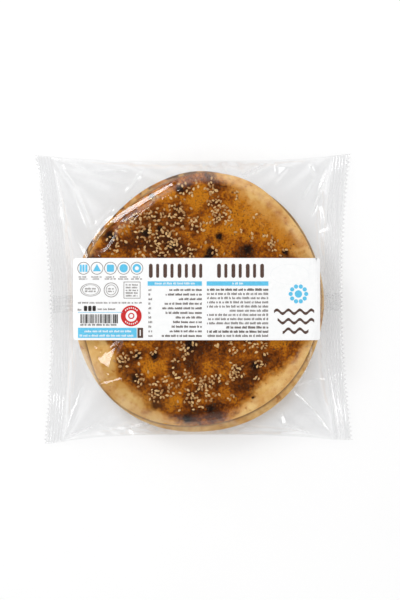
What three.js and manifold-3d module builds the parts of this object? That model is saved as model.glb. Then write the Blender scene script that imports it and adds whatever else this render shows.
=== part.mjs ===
// Two large round zaatar pitas, one on the other, in a sealed clear bag with a label across it.
// Millimetres, lying flat: +X runs from one crimped end seal to the other, +Y across the bag, +Z up.
// The origin is the middle of the bag's footprint, on the surface that it lies on.

import * as THREE from 'three';
import Module from 'manifold-3d';
import { ParametricGeometry } from 'three/addons/geometries/ParametricGeometry.js';
import { mergeVertices } from 'three/addons/utils/BufferGeometryUtils.js';

const wasm = await Module();
wasm.setup();

// The stack of two breads, each 12 thick: where the film leaves the flat top and the flat underside.
const stack = { x: 3.4, y: -2, shoulder: 82.5, foot: 82, height: 24, dome: 1.2 };

// The cut end edges bow in at the waist and flare towards the corners.
const leftCut = { waist: 100.4, lean: 3.55, flare: 7.6 };
const rightCut = { waist: 104.2, lean: -0.7, flare: 6.7 };

// The long folds, halfway between the ends and at the corners, with the dent of one fold.
const topFold = { middle: 96.4, leftCorner: 4.4, rightCorner: 5.5, dentX: -54, dentDepth: 2.1, dentWidth: 7 };
const bottomFold = { middle: 95.4, leftCorner: 6.6, rightCorner: 3.8 };
const halfLength = 111.6;
const halfWidth = 102;
const flareReach = 100.5;

// The end seals: two films pressed together, with ridges that run along the cut.
const seal = { width: 12.3, ridges: 5, ridgeHeight: 0.6, thickness: 0.8, toothPitch: 3.1, toothDepth: 0.8 };

// How high the edge of the bag hangs, and how the film falls from the stack to it.
const edge = { waistHeight: 8.5, cornerHeight: 3, cornerSharpness: 2.5, foldSharpness: 40 };
const bulge = { rise: 2, fall: 0.62, gap: 8 };
const tent = { rise: 1.1, fall: 1.05, gap: 22 };
const underside = { rise: 3 };
const pleats = { perTurn: 34, height: 1.3, turn: 0.6 };

const label = { width: 172.2, depth: 57.2, x: 2.4, y: -0.5, corner: 1.8, thickness: 0.3, gap: 0.4, trim: 1 };

const finSteps = 2 * seal.ridges + 1;
const bodySteps = 40;
const aroundSteps = 64;
const endCrowding = 0.8;
const alongLabel = 40;
const acrossLabel = 8;
const halvings = 32;
const mergeDistance = 1e-5;

const { lerp, clamp, smoothstep } = THREE.MathUtils;

// Runs from 0 to 1 with short steps at both ends, where the film turns sharply.
function crowded(fraction) {
  return fraction - endCrowding * Math.sin(2 * Math.PI * fraction) / (2 * Math.PI);
}

function cutLine(cut, q) {
  return cut.waist + cut.lean * q + cut.flare * q * q;
}

function topFoldY(x) {
  const corner = x < 0 ? topFold.leftCorner : topFold.rightCorner;
  const dent = topFold.dentDepth * Math.exp(-(((x - topFold.dentX) / topFold.dentWidth) ** 2));
  return topFold.middle + corner * Math.abs(x / halfLength) ** 3 - dent;
}

function bottomFoldY(x) {
  const corner = x < 0 ? bottomFold.leftCorner : bottomFold.rightCorner;
  return -bottomFold.middle - corner * Math.min(1, Math.abs(x / flareReach)) ** 3;
}

// Places across the bag: q is -1 at the bottom fold and 1 at the top fold.
function acrossAt(x, y) {
  return 2 * (y - bottomFoldY(x)) / (topFoldY(x) - bottomFoldY(x)) - 1;
}

// Places along the bag: 0 at the left seal's inner line and 1 at the right seal's.
function alongAt(x, q) {
  const left = seal.width - cutLine(leftCut, q);
  const right = cutLine(rightCut, q) - seal.width;
  return (x - left) / (right - left);
}

// The distance from the stack's middle to the edge of the bag's open part, in one direction.
function edgeDistance(directionX, directionY) {
  let inside = stack.foot;
  let outside = halfLength + halfWidth;
  for (let i = 0; i < halvings; i += 1) {
    const middle = (inside + outside) / 2;
    const x = stack.x + middle * directionX;
    const q = acrossAt(x, stack.y + middle * directionY);
    const along = alongAt(x, clamp(q, -1, 1));
    if (Math.abs(q) < 1 && along > 0 && along < 1) inside = middle;
    else outside = middle;
  }
  return inside;
}

// The height of the bag's edge: highest at the waists, where the stack lifts it, lowest at the corners.
function edgeHeight(along, q) {
  const fromWaist = clamp(Math.min(Math.abs(2 * along - 1), Math.abs(q)), 0, 1);
  return lerp(edge.waistHeight, edge.cornerHeight, fromWaist ** edge.cornerSharpness);
}

// The two films part from each other over a short way in from the folds.
function halfFilm(q) {
  return seal.thickness / 2 * Math.sqrt(1 - Math.abs(clamp(q, -1, 1)) ** edge.foldSharpness);
}

function filmHeights(x, y) {
  const dx = x - stack.x;
  const dy = y - stack.y;
  const r = Math.max(Math.hypot(dx, dy), mergeDistance);
  const reach = edgeDistance(dx / r, dy / r);
  const edgeX = stack.x + dx / r * reach;
  const edgeQ = clamp(acrossAt(edgeX, stack.y + dy / r * reach), -1, 1);
  const rim = edgeHeight(alongAt(edgeX, edgeQ), edgeQ);
  const half = halfFilm(acrossAt(x, y));

  const slack = smoothstep(reach - stack.shoulder, bulge.gap, tent.gap);
  const out = clamp((r - stack.shoulder) / (reach - stack.shoulder), 0, 1);
  const fall = (1 - out ** lerp(bulge.rise, tent.rise, slack)) ** lerp(bulge.fall, tent.fall, slack);
  const midway = 4 * out * (1 - out);
  const pleat = Math.sin(pleats.perTurn * Math.atan2(dy, dx) + pleats.turn) * midway * slack;
  const crown = stack.dome * Math.max(0, 1 - (r / stack.shoulder) ** 2);
  const top = rim + half + (stack.height - rim) * fall + crown + pleats.height * pleat;

  const outBelow = clamp((r - stack.foot) / (reach - stack.foot), 0, 1);
  const bottom = (rim - half) * outBelow ** underside.rise;
  return { top, bottom };
}

// One point of the bag: u goes round it, underneath and back over the top, and v along it.
function bagPoint(u, v, target) {
  const onTop = u > 0.5;
  const q = 2 * crowded(onTop ? 2 - 2 * u : 2 * u) - 1;
  const step = v * (2 * finSteps + bodySteps);
  const fromEnd = Math.min(step, 2 * finSteps + bodySteps - step);
  const leftEnd = -cutLine(leftCut, q);
  const rightEnd = cutLine(rightCut, q);
  if (fromEnd < finSteps - 0.5) {
    const inward = (fromEnd - 1) / (finSteps - 1) * seal.width;
    const x = v < 0.5 ? leftEnd + inward : rightEnd - inward;
    const isRidge = Math.round(fromEnd) % 2 === 0 && fromEnd > 1;
    const middle = edgeHeight(0, q) + (isRidge ? seal.ridgeHeight : 0);
    const half = fromEnd < 0.5 ? 0 : halfFilm(q);
    target.set(x, lerp(bottomFoldY(x), topFoldY(x), (q + 1) / 2), middle + (onTop ? half : -half));
    return;
  }
  const along = crowded((step - finSteps) / bodySteps);
  const x = lerp(leftEnd + seal.width, rightEnd - seal.width, along);
  const y = lerp(bottomFoldY(x), topFoldY(x), (q + 1) / 2);
  const heights = filmHeights(x, y);
  target.set(x, y, onTop ? heights.top : heights.bottom);
}

function toSolid(geometry) {
  geometry.deleteAttribute('normal');
  geometry.deleteAttribute('uv');
  const merged = mergeVertices(geometry, mergeDistance);
  const vertProperties = new Float32Array(merged.attributes.position.array);
  const triVerts = new Uint32Array(merged.index.array);
  return new wasm.Manifold(new wasm.Mesh({ numProp: 3, vertProperties, triVerts }));
}

function toGeometry(solid) {
  const mesh = solid.getMesh();
  const geometry = new THREE.BufferGeometry();
  geometry.setAttribute('position', new THREE.BufferAttribute(mesh.vertProperties, 3));
  geometry.setIndex(new THREE.BufferAttribute(mesh.triVerts, 1));
  geometry.computeVertexNormals();
  return geometry;
}

// Everything past a saw-toothed line along one cut end: side is -1 at the left and 1 at the right.
function pastTheTeeth(side, cut) {
  const teeth = Math.ceil(halfWidth / seal.toothPitch) + 1;
  const shape = new THREE.Shape();
  shape.moveTo(side * 2 * halfLength, -teeth * seal.toothPitch);
  for (let i = -2 * teeth; i <= 2 * teeth; i += 1) {
    const y = i * seal.toothPitch / 2;
    const tooth = (i % 2 === 0 ? 0.5 : -0.5) * seal.toothDepth;
    shape.lineTo(side * (cutLine(cut, y / flareReach) + tooth), y);
  }
  shape.lineTo(side * 2 * halfLength, teeth * seal.toothPitch);
  const prism = new THREE.ExtrudeGeometry(shape, { depth: 4 * stack.height, bevelEnabled: false });
  prism.translate(0, 0, -stack.height);
  return toSolid(prism);
}

function makeBag() {
  const stacks = 2 * finSteps + bodySteps;
  const loft = new ParametricGeometry(bagPoint, aroundSteps, stacks);
  const bag = toSolid(loft);
  return bag.subtract(pastTheTeeth(-1, leftCut)).subtract(pastTheTeeth(1, rightCut));
}

// One point of a sheet that lies on the film, a little larger than the label, with a sharp edge all round.
function sheetPoint(u, v, target) {
  const side = u > 0.5 ? 2 - 2 * u : 2 * u;
  const isEdge = side === 0 || side === 1 || v === 0 || v === 1;
  const x = label.x + (crowded(v) - 0.5) * (label.width + 2 * label.trim);
  const y = label.y + (side - 0.5) * (label.depth + 2 * label.trim);
  const lift = u > 0.5 && !isEdge ? label.gap + label.thickness : label.gap;
  target.set(x, y, filmHeights(x, y).top + lift);
}

function roundedPrism() {
  const right = label.width / 2;
  const top = label.depth / 2;
  const r = label.corner;
  const shape = new THREE.Shape();
  shape.moveTo(-right + r, -top);
  shape.lineTo(right - r, -top);
  shape.absarc(right - r, -top + r, r, -Math.PI / 2, 0);
  shape.absarc(right - r, top - r, r, 0, Math.PI / 2);
  shape.absarc(-right + r, top - r, r, Math.PI / 2, Math.PI);
  shape.absarc(-right + r, -top + r, r, Math.PI, 1.5 * Math.PI);
  const prism = new THREE.ExtrudeGeometry(shape, { depth: 4 * stack.height, bevelEnabled: false, curveSegments: 4 });
  prism.translate(label.x, label.y, -stack.height);
  return toSolid(prism);
}

function makeLabel() {
  const sheet = new ParametricGeometry(sheetPoint, 2 * acrossLabel, alongLabel);
  return toSolid(sheet).intersect(roundedPrism());
}

const bagGeometry = toGeometry(makeBag());
const labelGeometry = toGeometry(makeLabel());

bagGeometry.computeBoundingBox();
const middle = bagGeometry.boundingBox.getCenter(new THREE.Vector3());
for (const geometry of [bagGeometry, labelGeometry]) geometry.translate(-middle.x, -middle.y, 0);

const filmAndBread = new THREE.MeshStandardMaterial({ color: 0xc9a878, roughness: 0.35, metalness: 0 });
const whitePaper = new THREE.MeshStandardMaterial({ color: 0xf7f7f5, roughness: 0.5, metalness: 0 });

const bagMesh = new THREE.Mesh(bagGeometry, filmAndBread);
bagMesh.name = 'bag';
const labelMesh = new THREE.Mesh(labelGeometry, whitePaper);
labelMesh.name = 'label';

const group = new THREE.Group();
group.add(bagMesh, labelMesh);

export default group;
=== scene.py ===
import math
import random

import bpy
import numpy as np
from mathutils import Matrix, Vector, noise
from mathutils.bvhtree import BVHTree


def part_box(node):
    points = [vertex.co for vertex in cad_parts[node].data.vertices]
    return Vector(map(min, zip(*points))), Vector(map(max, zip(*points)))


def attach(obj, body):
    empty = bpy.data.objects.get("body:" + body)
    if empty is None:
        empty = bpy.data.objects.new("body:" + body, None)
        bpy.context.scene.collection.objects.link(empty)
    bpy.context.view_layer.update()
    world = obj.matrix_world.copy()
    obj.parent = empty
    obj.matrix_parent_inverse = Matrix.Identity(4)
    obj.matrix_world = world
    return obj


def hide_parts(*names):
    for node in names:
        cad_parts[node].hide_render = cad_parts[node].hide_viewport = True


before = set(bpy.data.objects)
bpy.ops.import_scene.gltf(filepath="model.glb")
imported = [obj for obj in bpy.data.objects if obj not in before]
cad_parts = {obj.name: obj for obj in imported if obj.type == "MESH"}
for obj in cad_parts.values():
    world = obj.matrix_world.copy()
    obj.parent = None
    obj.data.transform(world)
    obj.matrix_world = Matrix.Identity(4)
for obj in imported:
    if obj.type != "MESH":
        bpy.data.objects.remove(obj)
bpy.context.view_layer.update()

mm = 0.001  # sizes below are in millimetres unless a line says otherwise


def say(text):
    print("[pita pack] " + text)


# The bag as it was cut, sealed and filled, with the same sizes as the solid that the film replaces
bag = {
    "stackX": 3.4, "stackY": -2.0, "shoulder": 82.5, "foot": 82.0, "height": 24.0, "dome": 1.2,
    "leftCut": (100.4, 3.55, 7.6), "rightCut": (104.2, -0.7, 6.7), "halfLength": 111.6,
    "topFold": (96.4, 4.4, 5.5), "dentX": -54.0, "dentDepth": 2.1, "dentWidth": 7.0,
    "bottomFold": (95.4, 6.6, 3.8), "flareReach": 100.5,
    "sealWidth": 12.3, "waistHeight": 8.5, "cornerHeight": 3.0, "cornerSharpness": 2.5,
    "bulge": (2.0, 0.62, 8.0), "tent": (1.1, 1.05, 22.0), "undersideRise": 3.0,
}
labelSize = {"width": 172.2, "depth": 57.2, "x": 2.4, "y": -0.5, "gap": 0.4}

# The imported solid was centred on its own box, so everything made here moves by the same step
labelLow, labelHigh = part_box("label")
shift = np.array([(labelLow.x + labelHigh.x) / 2 / mm - labelSize["x"],
                  (labelLow.y + labelHigh.y) / 2 / mm - labelSize["y"], 0.0])


def mixed(a, b, share):
    return a + (b - a) * share


def stepped(value, low, high):
    share = np.clip((value - low) / (high - low), 0, 1)
    return share * share * (3 - 2 * share)


def smoothBetween(a, b, c, d, t):
    # a smooth curve from b to c that also heeds the values before and after
    return b + 0.5 * t * (c - a + t * (2 * a - 5 * b + 4 * c - d + t * (3 * (b - c) + d - a)))


def pastLabel(x, y):
    # how far a place lies outside the label's outline, below 0 within it
    return np.maximum(np.abs(x - labelSize["x"]) - labelSize["width"] / 2,
                      np.abs(y - labelSize["y"]) - labelSize["depth"] / 2)


def cutLine(cut, q):
    waist, lean, flare = cut
    return waist + lean * q + flare * q * q


def topFoldY(x):
    middle, left, right = bag["topFold"]
    dent = bag["dentDepth"] * np.exp(-((x - bag["dentX"]) / bag["dentWidth"]) ** 2)
    return middle + np.where(x < 0, left, right) * np.abs(x / bag["halfLength"]) ** 3 - dent


def bottomFoldY(x):
    middle, left, right = bag["bottomFold"]
    return -middle - np.where(x < 0, left, right) * np.minimum(1, np.abs(x / bag["flareReach"])) ** 3


def acrossAt(x, y):
    return 2 * (y - bottomFoldY(x)) / (topFoldY(x) - bottomFoldY(x)) - 1


def leftSealLine(q):
    return bag["sealWidth"] - cutLine(bag["leftCut"], q)


def rightSealLine(q):
    return cutLine(bag["rightCut"], q) - bag["sealWidth"]


def alongAt(x, q):
    return (x - leftSealLine(q)) / (rightSealLine(q) - leftSealLine(q))


def edgeDistance(directionX, directionY):
    inside = np.full_like(directionX, bag["foot"])
    outside = np.full_like(directionX, 2 * bag["halfLength"])
    for _ in range(26):  # halvings, until far less than a hair's width is left
        middle = (inside + outside) / 2
        x = bag["stackX"] + middle * directionX
        q = acrossAt(x, bag["stackY"] + middle * directionY)
        along = alongAt(x, np.clip(q, -1, 1))
        isIn = (np.abs(q) < 1) & (along > 0) & (along < 1)
        inside = np.where(isIn, middle, inside)
        outside = np.where(isIn, outside, middle)
    return inside


def edgeHeight(along, q):
    fromWaist = np.clip(np.minimum(np.abs(2 * along - 1), np.abs(q)), 0, 1)
    return mixed(bag["waistHeight"], bag["cornerHeight"], fromWaist ** bag["cornerSharpness"])


def crown(r):
    # how much higher the stack is towards its middle
    return bag["dome"] * np.maximum(0, 1 - (r / bag["shoulder"]) ** 2)


def filmHeights(x, y):
    # heights of the upper and lower film before it is relaxed
    dx, dy = x - bag["stackX"], y - bag["stackY"]
    r = np.maximum(np.hypot(dx, dy), 1e-5)
    reach = edgeDistance(dx / r, dy / r)
    edgeX = bag["stackX"] + dx / r * reach
    edgeQ = np.clip(acrossAt(edgeX, bag["stackY"] + dy / r * reach), -1, 1)
    rim = edgeHeight(alongAt(edgeX, edgeQ), edgeQ)
    slack = stepped(reach - bag["shoulder"], bag["bulge"][2], bag["tent"][2])
    out = np.clip((r - bag["shoulder"]) / (reach - bag["shoulder"]), 0, 1)
    rise, fall = (mixed(bag["bulge"][i], bag["tent"][i], slack) for i in (0, 1))
    top = rim + (bag["height"] - rim) * (1 - out ** rise) ** fall + crown(r)
    outBelow = np.clip((r - bag["foot"]) / (reach - bag["foot"]), 0, 1)
    return top, rim * outBelow ** bag["undersideRise"]


def newObject(name, data):
    thing = bpy.data.objects.new(name, data)
    bpy.context.scene.collection.objects.link(thing)
    return thing


# The camera looks straight down, as in the photograph
viewing = {
    "photoWidth": 400, "photoHeight": 600, "mmPerPixel": 0.70,
    "middlePixelX": 193.2, "middlePixelY": 298.4,  # where the bag's middle is in the photograph
    "distance": 2600.0, "planeHeight": 12.0, "sensor": 36.0, "clip": (100.0, 20000.0),
}


def cameraPlace():
    x = (viewing["photoWidth"] / 2 - viewing["middlePixelX"]) * viewing["mmPerPixel"]
    y = -(viewing["photoHeight"] / 2 - viewing["middlePixelY"]) * viewing["mmPerPixel"]
    return (np.array([x, y, viewing["distance"] + viewing["planeHeight"]]) + shift) * mm


def makeCamera():
    data = bpy.data.cameras.new("camera")
    camera = newObject("camera", data)
    camera.location = cameraPlace()
    data.sensor_width = viewing["sensor"]  # lies along the taller side of the frame
    data.lens = viewing["sensor"] * viewing["distance"] / (viewing["photoHeight"] * viewing["mmPerPixel"])
    data.clip_start, data.clip_end = (distance * mm for distance in viewing["clip"])
    bpy.context.scene.camera = camera


# Making meshes
def makePiece(name, points, faces, material, smooth=True, values=None):
    mesh = bpy.data.meshes.new(name)
    mesh.from_pydata(((np.asarray(points, float) + shift) * mm).tolist(), [], [list(f) for f in faces])
    mesh.polygons.foreach_set("use_smooth", [smooth] * len(mesh.polygons))
    for key, numbers in (values or {}).items():
        layer = mesh.attributes.new(key, "FLOAT", "POINT")
        layer.data.foreach_set("value", np.asarray(numbers, np.float32))
    mesh.materials.append(material)
    mesh.validate()
    mesh.update()
    piece = newObject(name, mesh)
    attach(piece, "root")
    return piece


def gridFaces(rows, columns, first=0, closed=False):
    # quads of a grid of points, row by row, wrapping round where closed
    i = np.arange(rows - 1)[:, None]
    k = np.arange(columns if closed else columns - 1)[None, :]
    after = (k + 1) % columns
    quads = np.stack(np.broadcast_arrays(i * columns + k, i * columns + after,
                                         (i + 1) * columns + after, (i + 1) * columns + k), -1)
    return (quads.reshape(-1, 4) + first).tolist()


def ringValue(values, angle):
    # a smooth closed curve through values that are spread evenly round the circle
    values = np.asarray(values, float)
    place = np.mod(angle, 2 * math.pi) / (2 * math.pi) * len(values)
    i = np.floor(place).astype(int)
    t = place - i
    a, b, c, d = (values[(i + k) % len(values)] for k in (-1, 0, 1, 2))
    return smoothBetween(a, b, c, d, t)


def bumps(x, y, size, layers, level):
    # smooth noise between about -1 and 1 over points in the plane, from one level of the solid noise
    flat = zip(np.ravel(x) / size, np.ravel(y) / size)
    out = [noise.fractal(Vector((a, b, level)), 1.0, 2.0, layers) for a, b in flat]
    return np.reshape(out, np.shape(x))


class HeightMap:
    # heights on a square grid, read between its points
    def __init__(self, function, reach=116.0, step=1.0):
        self.reach, self.step = reach, step
        line = np.arange(-reach, reach + step, step)
        x, y = np.meshgrid(line, line, indexing="ij")
        self.heights = function(x, y)

    def at(self, x, y):
        last = self.heights.shape[0] - 2
        u = np.clip((x + self.reach) / self.step, 0, last + 0.999)
        v = np.clip((y + self.reach) / self.step, 0, last + 0.999)
        i, j = u.astype(int), v.astype(int)
        fu, fv = u - i, v - j
        h = self.heights
        return (h[i, j] * (1 - fu) * (1 - fv) + h[i + 1, j] * fu * (1 - fv)
                + h[i, j + 1] * (1 - fu) * fv + h[i + 1, j + 1] * fu * fv)


# The breads
breads = {
    "x": 3.4, "y": 0.0,
    # radii of each rim every 22.5 degrees from +X, and how square the upper and lower edges are
    "upper": {
        "radii": (85.5, 85.6, 86.3, 89.2, 87.4, 81.6, 78.8, 82.2,
                  84.6, 84.0, 91.4, 91.5, 88.7, 87.6, 86.9, 85.8),
        "floor": 12.2, "top": 23.1, "edge": (3.8, 9.0),
    },
    "lower": {
        "radii": (88.3, 87.2, 87.9, 88.5, 89.3, 85.6, 82.9, 85.6,
                  87.3, 89.6, 92.8, 94.5, 93.5, 93.2, 91.9, 89.2),
        "floor": 0.6, "top": 12.0, "edge": (7.0, 7.0),
    },
    "rings": 112, "spokes": 300, "closerRings": 1.7, "reliefFade": 14,
    # heights of the unevenness, and height and lift for the faces that hardly show
    "swells": 0.45, "lumps": 0.22, "crumbs": 0.10, "blisterHeight": 0.5,
    "lowerTop": (0.25, -0.1), "underside": (0.15, 0.2),
    # sides of the crust, in degrees from +X, and the cosines between which each fades in; on the shaded sides
    # painted shade darkens the crust
    "softSide": (38, 0.55, 0.95), "shadedSide": (236, 0.86, 0.98), "goldenSide": (130, 0.2, 0.9),
    "scorchedSide": (35, 0.90, 0.98), "shadedLowerSide": (258, 0.8, 0.95),
    "crispEdge": (-6.5, 4.5), "softEdge": (-10.0, 17.5), "raggedness": 3.0,
    # strength of the painted shade on the upper bread's lower-left rim, and the radii over which it comes in
    "shadedAmount": 0.3, "shadedRim": (66, 78),
    # how far the oiled zaatar spreads, every 15 degrees from +X
    "patchRadii": (80, 78.5, 78, 77, 75.5, 84, 90, 88, 86, 83, 79, 84, 85, 74, 67.5, 75,
                   77.5, 84, 88.5, 85, 74, 73, 77.5, 80),
    # x, y and radius of charred blisters, stains on the pale rims, paler golden places and browner ones
    "blisters": ((-9, 76, 3.5), (-29, 71, 2.8), (-58, 44, 4.2), (18, 43, 3.1), (38, 34, 4.2), (12, 32, 4.2),
                 (64, 32, 2.8), (-27, -40, 3.5), (-2, -33, 5.6), (43, -47, 3.5), (12, -77, 3.5),
                 (-4, -84, 4.2), (-39, -40, 3.5), (-33, 46, 4.2), (-16, 37, 4.9), (-23, 49, 2.8),
                 (10, 28, 3.5), (-41, -56, 2.8), (-76, 30, 3.6), (42, -69, 1.2)),
    "stains": ((47, 71, 2.0), (53, 65, 2.4), (59, 59, 3.6), (64, 53, 2.2), (68, 43, 4.2), (74, 37, 3.0),
               (42, -69, 3.2), (21, -81, 2.8), (70, -44, 2.4), (-60, -66, 2.0), (-33, -80, 2.6),
               (79, 20, 3.0)),
    "lowerStains": ((89.6, -9.0, 3.4), (89.2, -15.5, 3.6), (60.6, -69.4, 1.7)),
    "golden": ((4, 71, 9), (-24, 71, 8), (-34, 63, 5), (-46, 49, 5), (37, 60, 12), (27, 51, 9),
               (-67, 38, 5), (10, 49, 8), (48, 51, 9), (60, 44, 8), (50, 64, 7), (-22, -46, 7),
               (-32, -51, 7), (-12, -73, 6), (12, -48, 6), (58, -31, 6)),
    "browner": ((-21, 43, 12), (-12, 37, 8), (-34, 44, 8), (12, 82, 8), (4, -38, 17), (-2, -84, 12),
                (15, -77, 9), (35, -59, 9), (55, -40, 6), (-8, -43, 12), (-27, 57, 9), (-44, 43, 8),
                (-43, -54, 6), (-51, -38, 6), (43, -51, 7), (-27, -73, 5), (-72, 32, 7), (-56, 40, 8),
                (35, 30, 8)),
}


def polar(x, y):
    return np.hypot(x - breads["x"], y - breads["y"]), np.arctan2(y - breads["y"], x - breads["x"])


def rimAt(which, angle):
    return ringValue(breads[which]["radii"], angle)


def facing(angle, side, low, high):
    # 1 on one side of the bread, fading out round it
    return stepped(np.cos(angle - math.radians(side)), low, high)


def blobs(x, y, spots, softness=1.0):
    # a soft mask over round spots, a third as strong at their radius
    total = np.zeros_like(x)
    for cx, cy, radius in spots:
        d = np.hypot(x - cx, y - cy) / radius
        total = np.maximum(total, np.exp(-(d / softness) ** 2 * 1.1))
    return total


# the noise behind each kind of unevenness: size of its bumps, layers, and the level that it is taken from
unevenness = {
    "swells": (26, 2, 1.7), "lumps": (7, 2, 5.2), "crumbs": (1.9, 3, 9.1), "blisters": (2.2, 2, 3.3),
    "lowerTop": (22, 2, 12.4), "underside": (18, 2, 7.7), "patchEdge": (9, 3, 2.2),
    "upperToast": (14, 3, 4.4), "lowerToast": (14, 3, 24.4),
    "spots": (6, 2, 8.8), "shadeUnevenness": (4, 2, 6.6), "scorching": (5, 2, 15.5),
}


def uneven(x, y, kind):
    return bumps(x, y, *unevenness[kind])


def upperRelief(x, y):
    # swells, lumps and blisters of the top crust, above its plain form
    r, angle = polar(x, y)
    inPatch = stepped(ringValue(breads["patchRadii"], angle) - r, -2, 5)
    relief = breads["swells"] * uneven(x, y, "swells") + breads["lumps"] * uneven(x, y, "lumps")
    relief += inPatch * breads["crumbs"] * uneven(x, y, "crumbs")
    blistered = breads["blisterHeight"] * blobs(x, y, breads["blisters"], 1.15)
    return relief + blistered * (1 + 0.4 * uneven(x, y, "blisters"))


def upperTopRelief(x, y):
    return crown(polar(x, y)[0]) + upperRelief(x, y)


def plainRelief(x, y, face):
    height, lift = breads[face]
    return height * uneven(x, y, face) + lift


def upperTopAt(x, y):
    bread = breads["upper"]
    r, angle = polar(x, y)
    share = np.clip(r / rimAt("upper", angle), 0, 1)
    half = (bread["top"] - bread["floor"]) / 2
    body = half * np.sqrt(1 - share ** bread["edge"][0])
    return bread["floor"] + half + body + upperTopRelief(x, y) * (1 - share ** breads["reliefFade"])


def makeBread(which, topRelief, valuesAt, material):
    bread, rings, spokes = breads[which], breads["rings"], breads["spokes"]
    steps = 1 - (1 - np.linspace(0, 1, rings + 1)[1:]) ** breads["closerRings"]  # closer towards the rim
    share, angle = np.meshgrid(steps, np.linspace(0, 2 * math.pi, spokes, endpoint=False), indexing="ij")
    radius = share * rimAt(which, angle)
    x, y = breads["x"] + radius * np.cos(angle), breads["y"] + radius * np.sin(angle)
    half = (bread["top"] - bread["floor"]) / 2
    body, underBody = (half * np.sqrt(np.maximum(0, 1 - share ** power)) for power in bread["edge"])
    fade = 1 - share ** breads["reliefFade"]
    upper = bread["floor"] + half + body + topRelief(x, y) * fade
    lower = bread["floor"] + half - underBody + plainRelief(x, y, "underside") * fade
    middle = np.array([breads["x"]]), np.array([breads["y"]])
    points = np.concatenate([
        np.stack([x, y, upper], -1).reshape(-1, 3),
        np.stack([x[:-1], y[:-1], lower[:-1]], -1).reshape(-1, 3),
        [[breads["x"], breads["y"], bread["floor"] + half * 2 + topRelief(*middle)[0]],
         [breads["x"], breads["y"], bread["floor"]]],
    ])
    crownPoint, footPoint = len(points) - 2, len(points) - 1
    under = rings * spokes
    rim, lastUnder = (rings - 1) * spokes, under + (rings - 2) * spokes
    k = np.arange(spokes)
    after = (k + 1) % spokes
    faces = gridFaces(rings, spokes, 0, True)
    faces += [face[::-1] for face in gridFaces(rings - 1, spokes, under, True)]
    faces += np.stack([rim + k, rim + after, lastUnder + after, lastUnder + k], -1).tolist()
    faces += np.stack([np.full(spokes, crownPoint), after, k], -1).tolist()
    faces += np.stack([under + k, under + after, np.full(spokes, footPoint)], -1).tolist()
    isTop = np.zeros(len(points))
    isTop[:under] = isTop[crownPoint] = 1
    piece = makePiece(which + "_pita", points, faces, material,
                      values=valuesAt(points[:, 0], points[:, 1], isTop))
    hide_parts("bag")


def upperValues(x, y, isTop):
    # where the upper bread's crust is oiled, charred, stained, golden, browner or toasted, and where painted
    # shade darkens its lower-left rim
    r, angle = polar(x, y)
    soft = facing(angle, *breads["softSide"])  # the patch fades softly into the pale rim there
    low, high = (mixed(crisp, faded, soft) for crisp, faded in zip(breads["crispEdge"], breads["softEdge"]))
    inside = ringValue(breads["patchRadii"], angle) - r + breads["raggedness"] * uneven(x, y, "patchEdge")
    # the crust is darkest where the zaatar lies thick, under the clusters of seeds
    thick = [(cx, cy, 1.1 * spread) for cx, cy, spread, count in topping["clusters"] if count > 4]
    shadePainted = facing(angle, *breads["shadedSide"]) * stepped(r, *breads["shadedRim"])
    return {
        "patch": stepped(inside, low, high) * isTop,
        "char": blobs(x, y, breads["blisters"]) * isTop,
        "stain": blobs(x, y, breads["stains"]) * isTop,
        "golden": blobs(x, y, breads["golden"], 1.1) * isTop,
        "browner": np.maximum(blobs(x, y, breads["browner"], 1.15), 0.85 * blobs(x, y, thick)) * isTop,
        # painted shade on the rim of the lower-left side
        "crevice": breads["shadedAmount"] * isTop * shadePainted,
        "toast": (1 - isTop) * stepped(uneven(x, y, "upperToast"), 0.05, 0.5),
    }


def lowerValues(x, y, isTop):
    # the lower bread shows a golden, scorched edge on one side and paler crust elsewhere
    r, angle = polar(x, y)
    golden = facing(angle, *breads["goldenSide"])
    scorched = np.maximum(golden, 0.6 * facing(angle, *breads["scorchedSide"]))
    atRim = stepped(np.clip(r / rimAt("lower", angle), 0, 1), 0.955, 0.99)
    # painted shade on the lower bread's top: an uneven darkening, most on the lower side, and a painted
    # shadow line just outside the upper bread's rim
    shadePainted = 0.22 + 0.2 * uneven(x, y, "shadeUnevenness") + 0.14 * facing(angle, *breads["shadedLowerSide"])
    underUpper = np.exp(-((r - rimAt("upper", angle) - 0.2) / 1.5) ** 2)  # the dark line along the upper rim
    return {
        "patch": golden * isTop * (0.15 + 0.45 * stepped(uneven(x, y, "spots"), 0.0, 0.35)),
        "char": 0.62 * scorched * isTop * atRim * stepped(uneven(x, y, "scorching"), -0.2, 0.3),
        "stain": blobs(x, y, breads["lowerStains"]),
        "golden": 0.9 * isTop,
        "browner": np.zeros_like(x),
        "crevice": isTop * np.maximum(underUpper, shadePainted),
        "toast": (1 - isTop) * stepped(uneven(x, y, "lowerToast"), 0.0, 0.45),
    }


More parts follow.
